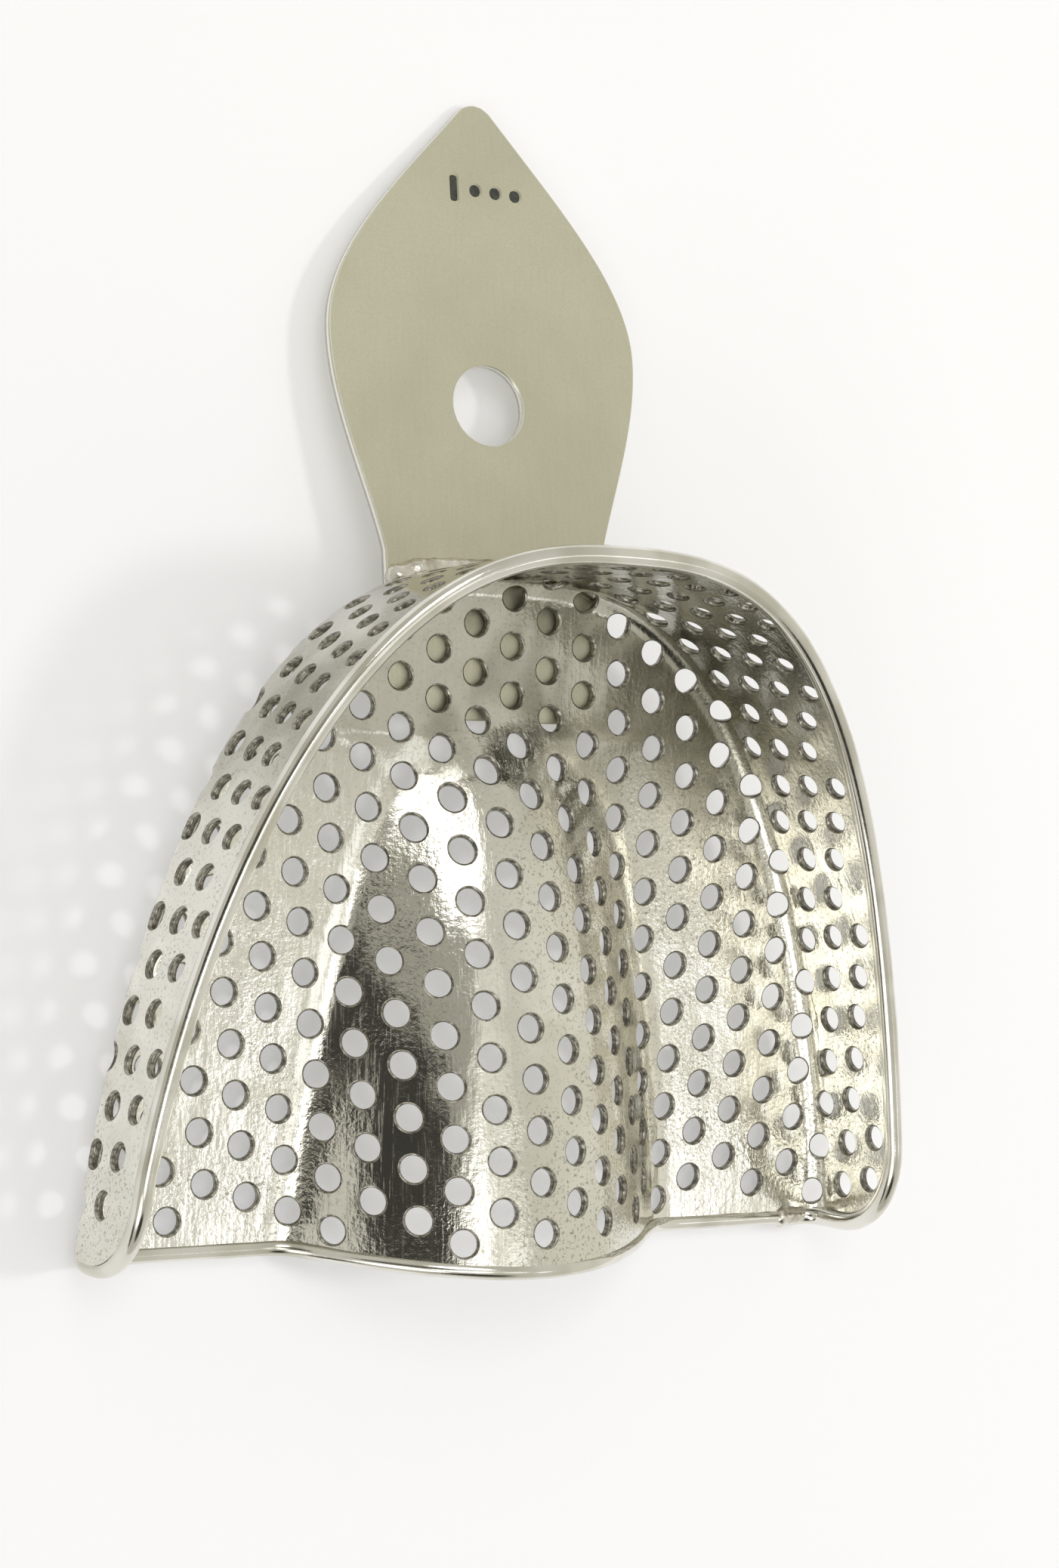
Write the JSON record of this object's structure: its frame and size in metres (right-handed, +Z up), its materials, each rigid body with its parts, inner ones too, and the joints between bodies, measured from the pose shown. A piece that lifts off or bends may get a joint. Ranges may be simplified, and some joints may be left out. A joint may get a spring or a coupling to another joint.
{
  "type": "impression tray",
  "caption": "Perforated steel upper impression tray with rim wire, palate vault and a flat leaf-shaped handle with a hanging hole.",
  "frame": {"origin": "centre of the bounding box seen from above, on the surface the tray lies on", "axes": "+Z up with the trough open upwards, +Y along the handle away from the arch, +X across the arch. The tray lies on its heels and the tip of its handle, so the trough floor is tilted about 5 degrees up towards the front."},
  "size_m": [0.0704, 0.0939, 0.0239],
  "materials": {
    "polished_steel": "polished",
    "satin_steel": "satin",
    "braze": "satin"
  },
  "bodies": {
    "root": {"tray_shell": "polished_steel", "rim_wire": "polished_steel", "rear_wire": "polished_steel", "handle_plate": "satin_steel", "handle_braze": "braze", "heel_solder_left": "braze", "heel_solder_right": "braze"}
  },
  "joints": []
}
